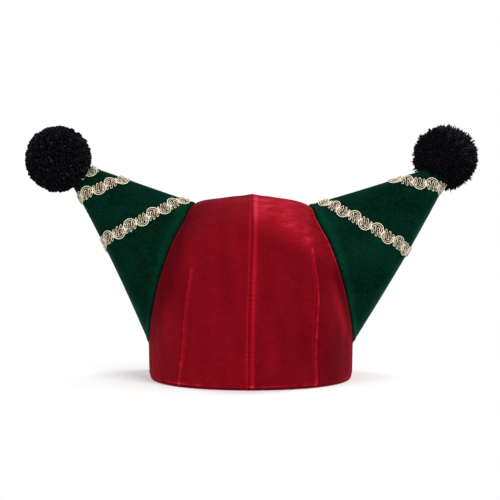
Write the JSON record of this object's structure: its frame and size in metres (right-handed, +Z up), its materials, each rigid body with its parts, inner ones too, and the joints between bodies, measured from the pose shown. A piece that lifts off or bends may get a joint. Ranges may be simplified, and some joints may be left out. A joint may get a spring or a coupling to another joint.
{
  "type": "jester hat",
  "caption": "Soft velvet jester hat with a ridged crown, hollow horns wound with gold scroll braid, and yarn pompoms on the tips.",
  "frame": {"origin": "centre of the hem, on the surface that the hat rests on", "axes": "+Z up from the hem to the peak, +X along the horns towards the horn at the right of the picture, -Y out of the front of the hat"},
  "size_m": [0.3992, 0.2074, 0.2227],
  "materials": {
    "red_velvet": "crushed velvet with a soft sheen",
    "green_velvet": "dark velvet with a soft sheen",
    "gold_braid": "champagne-gold metallic thread",
    "black_yarn": "matte wool yarn"
  },
  "bodies": {
    "root": {"crown_front_left": "red_velvet", "crown_front_right": "red_velvet", "crown_back_left": "red_velvet", "crown_back_right": "red_velvet", "horn_left_front": "green_velvet", "horn_left_back": "green_velvet", "horn_right_front": "green_velvet", "horn_right_back": "green_velvet", "braid_left": "gold_braid", "braid_right": "gold_braid", "pompom_left": "black_yarn", "pompom_right": "black_yarn"}
  },
  "joints": []
}
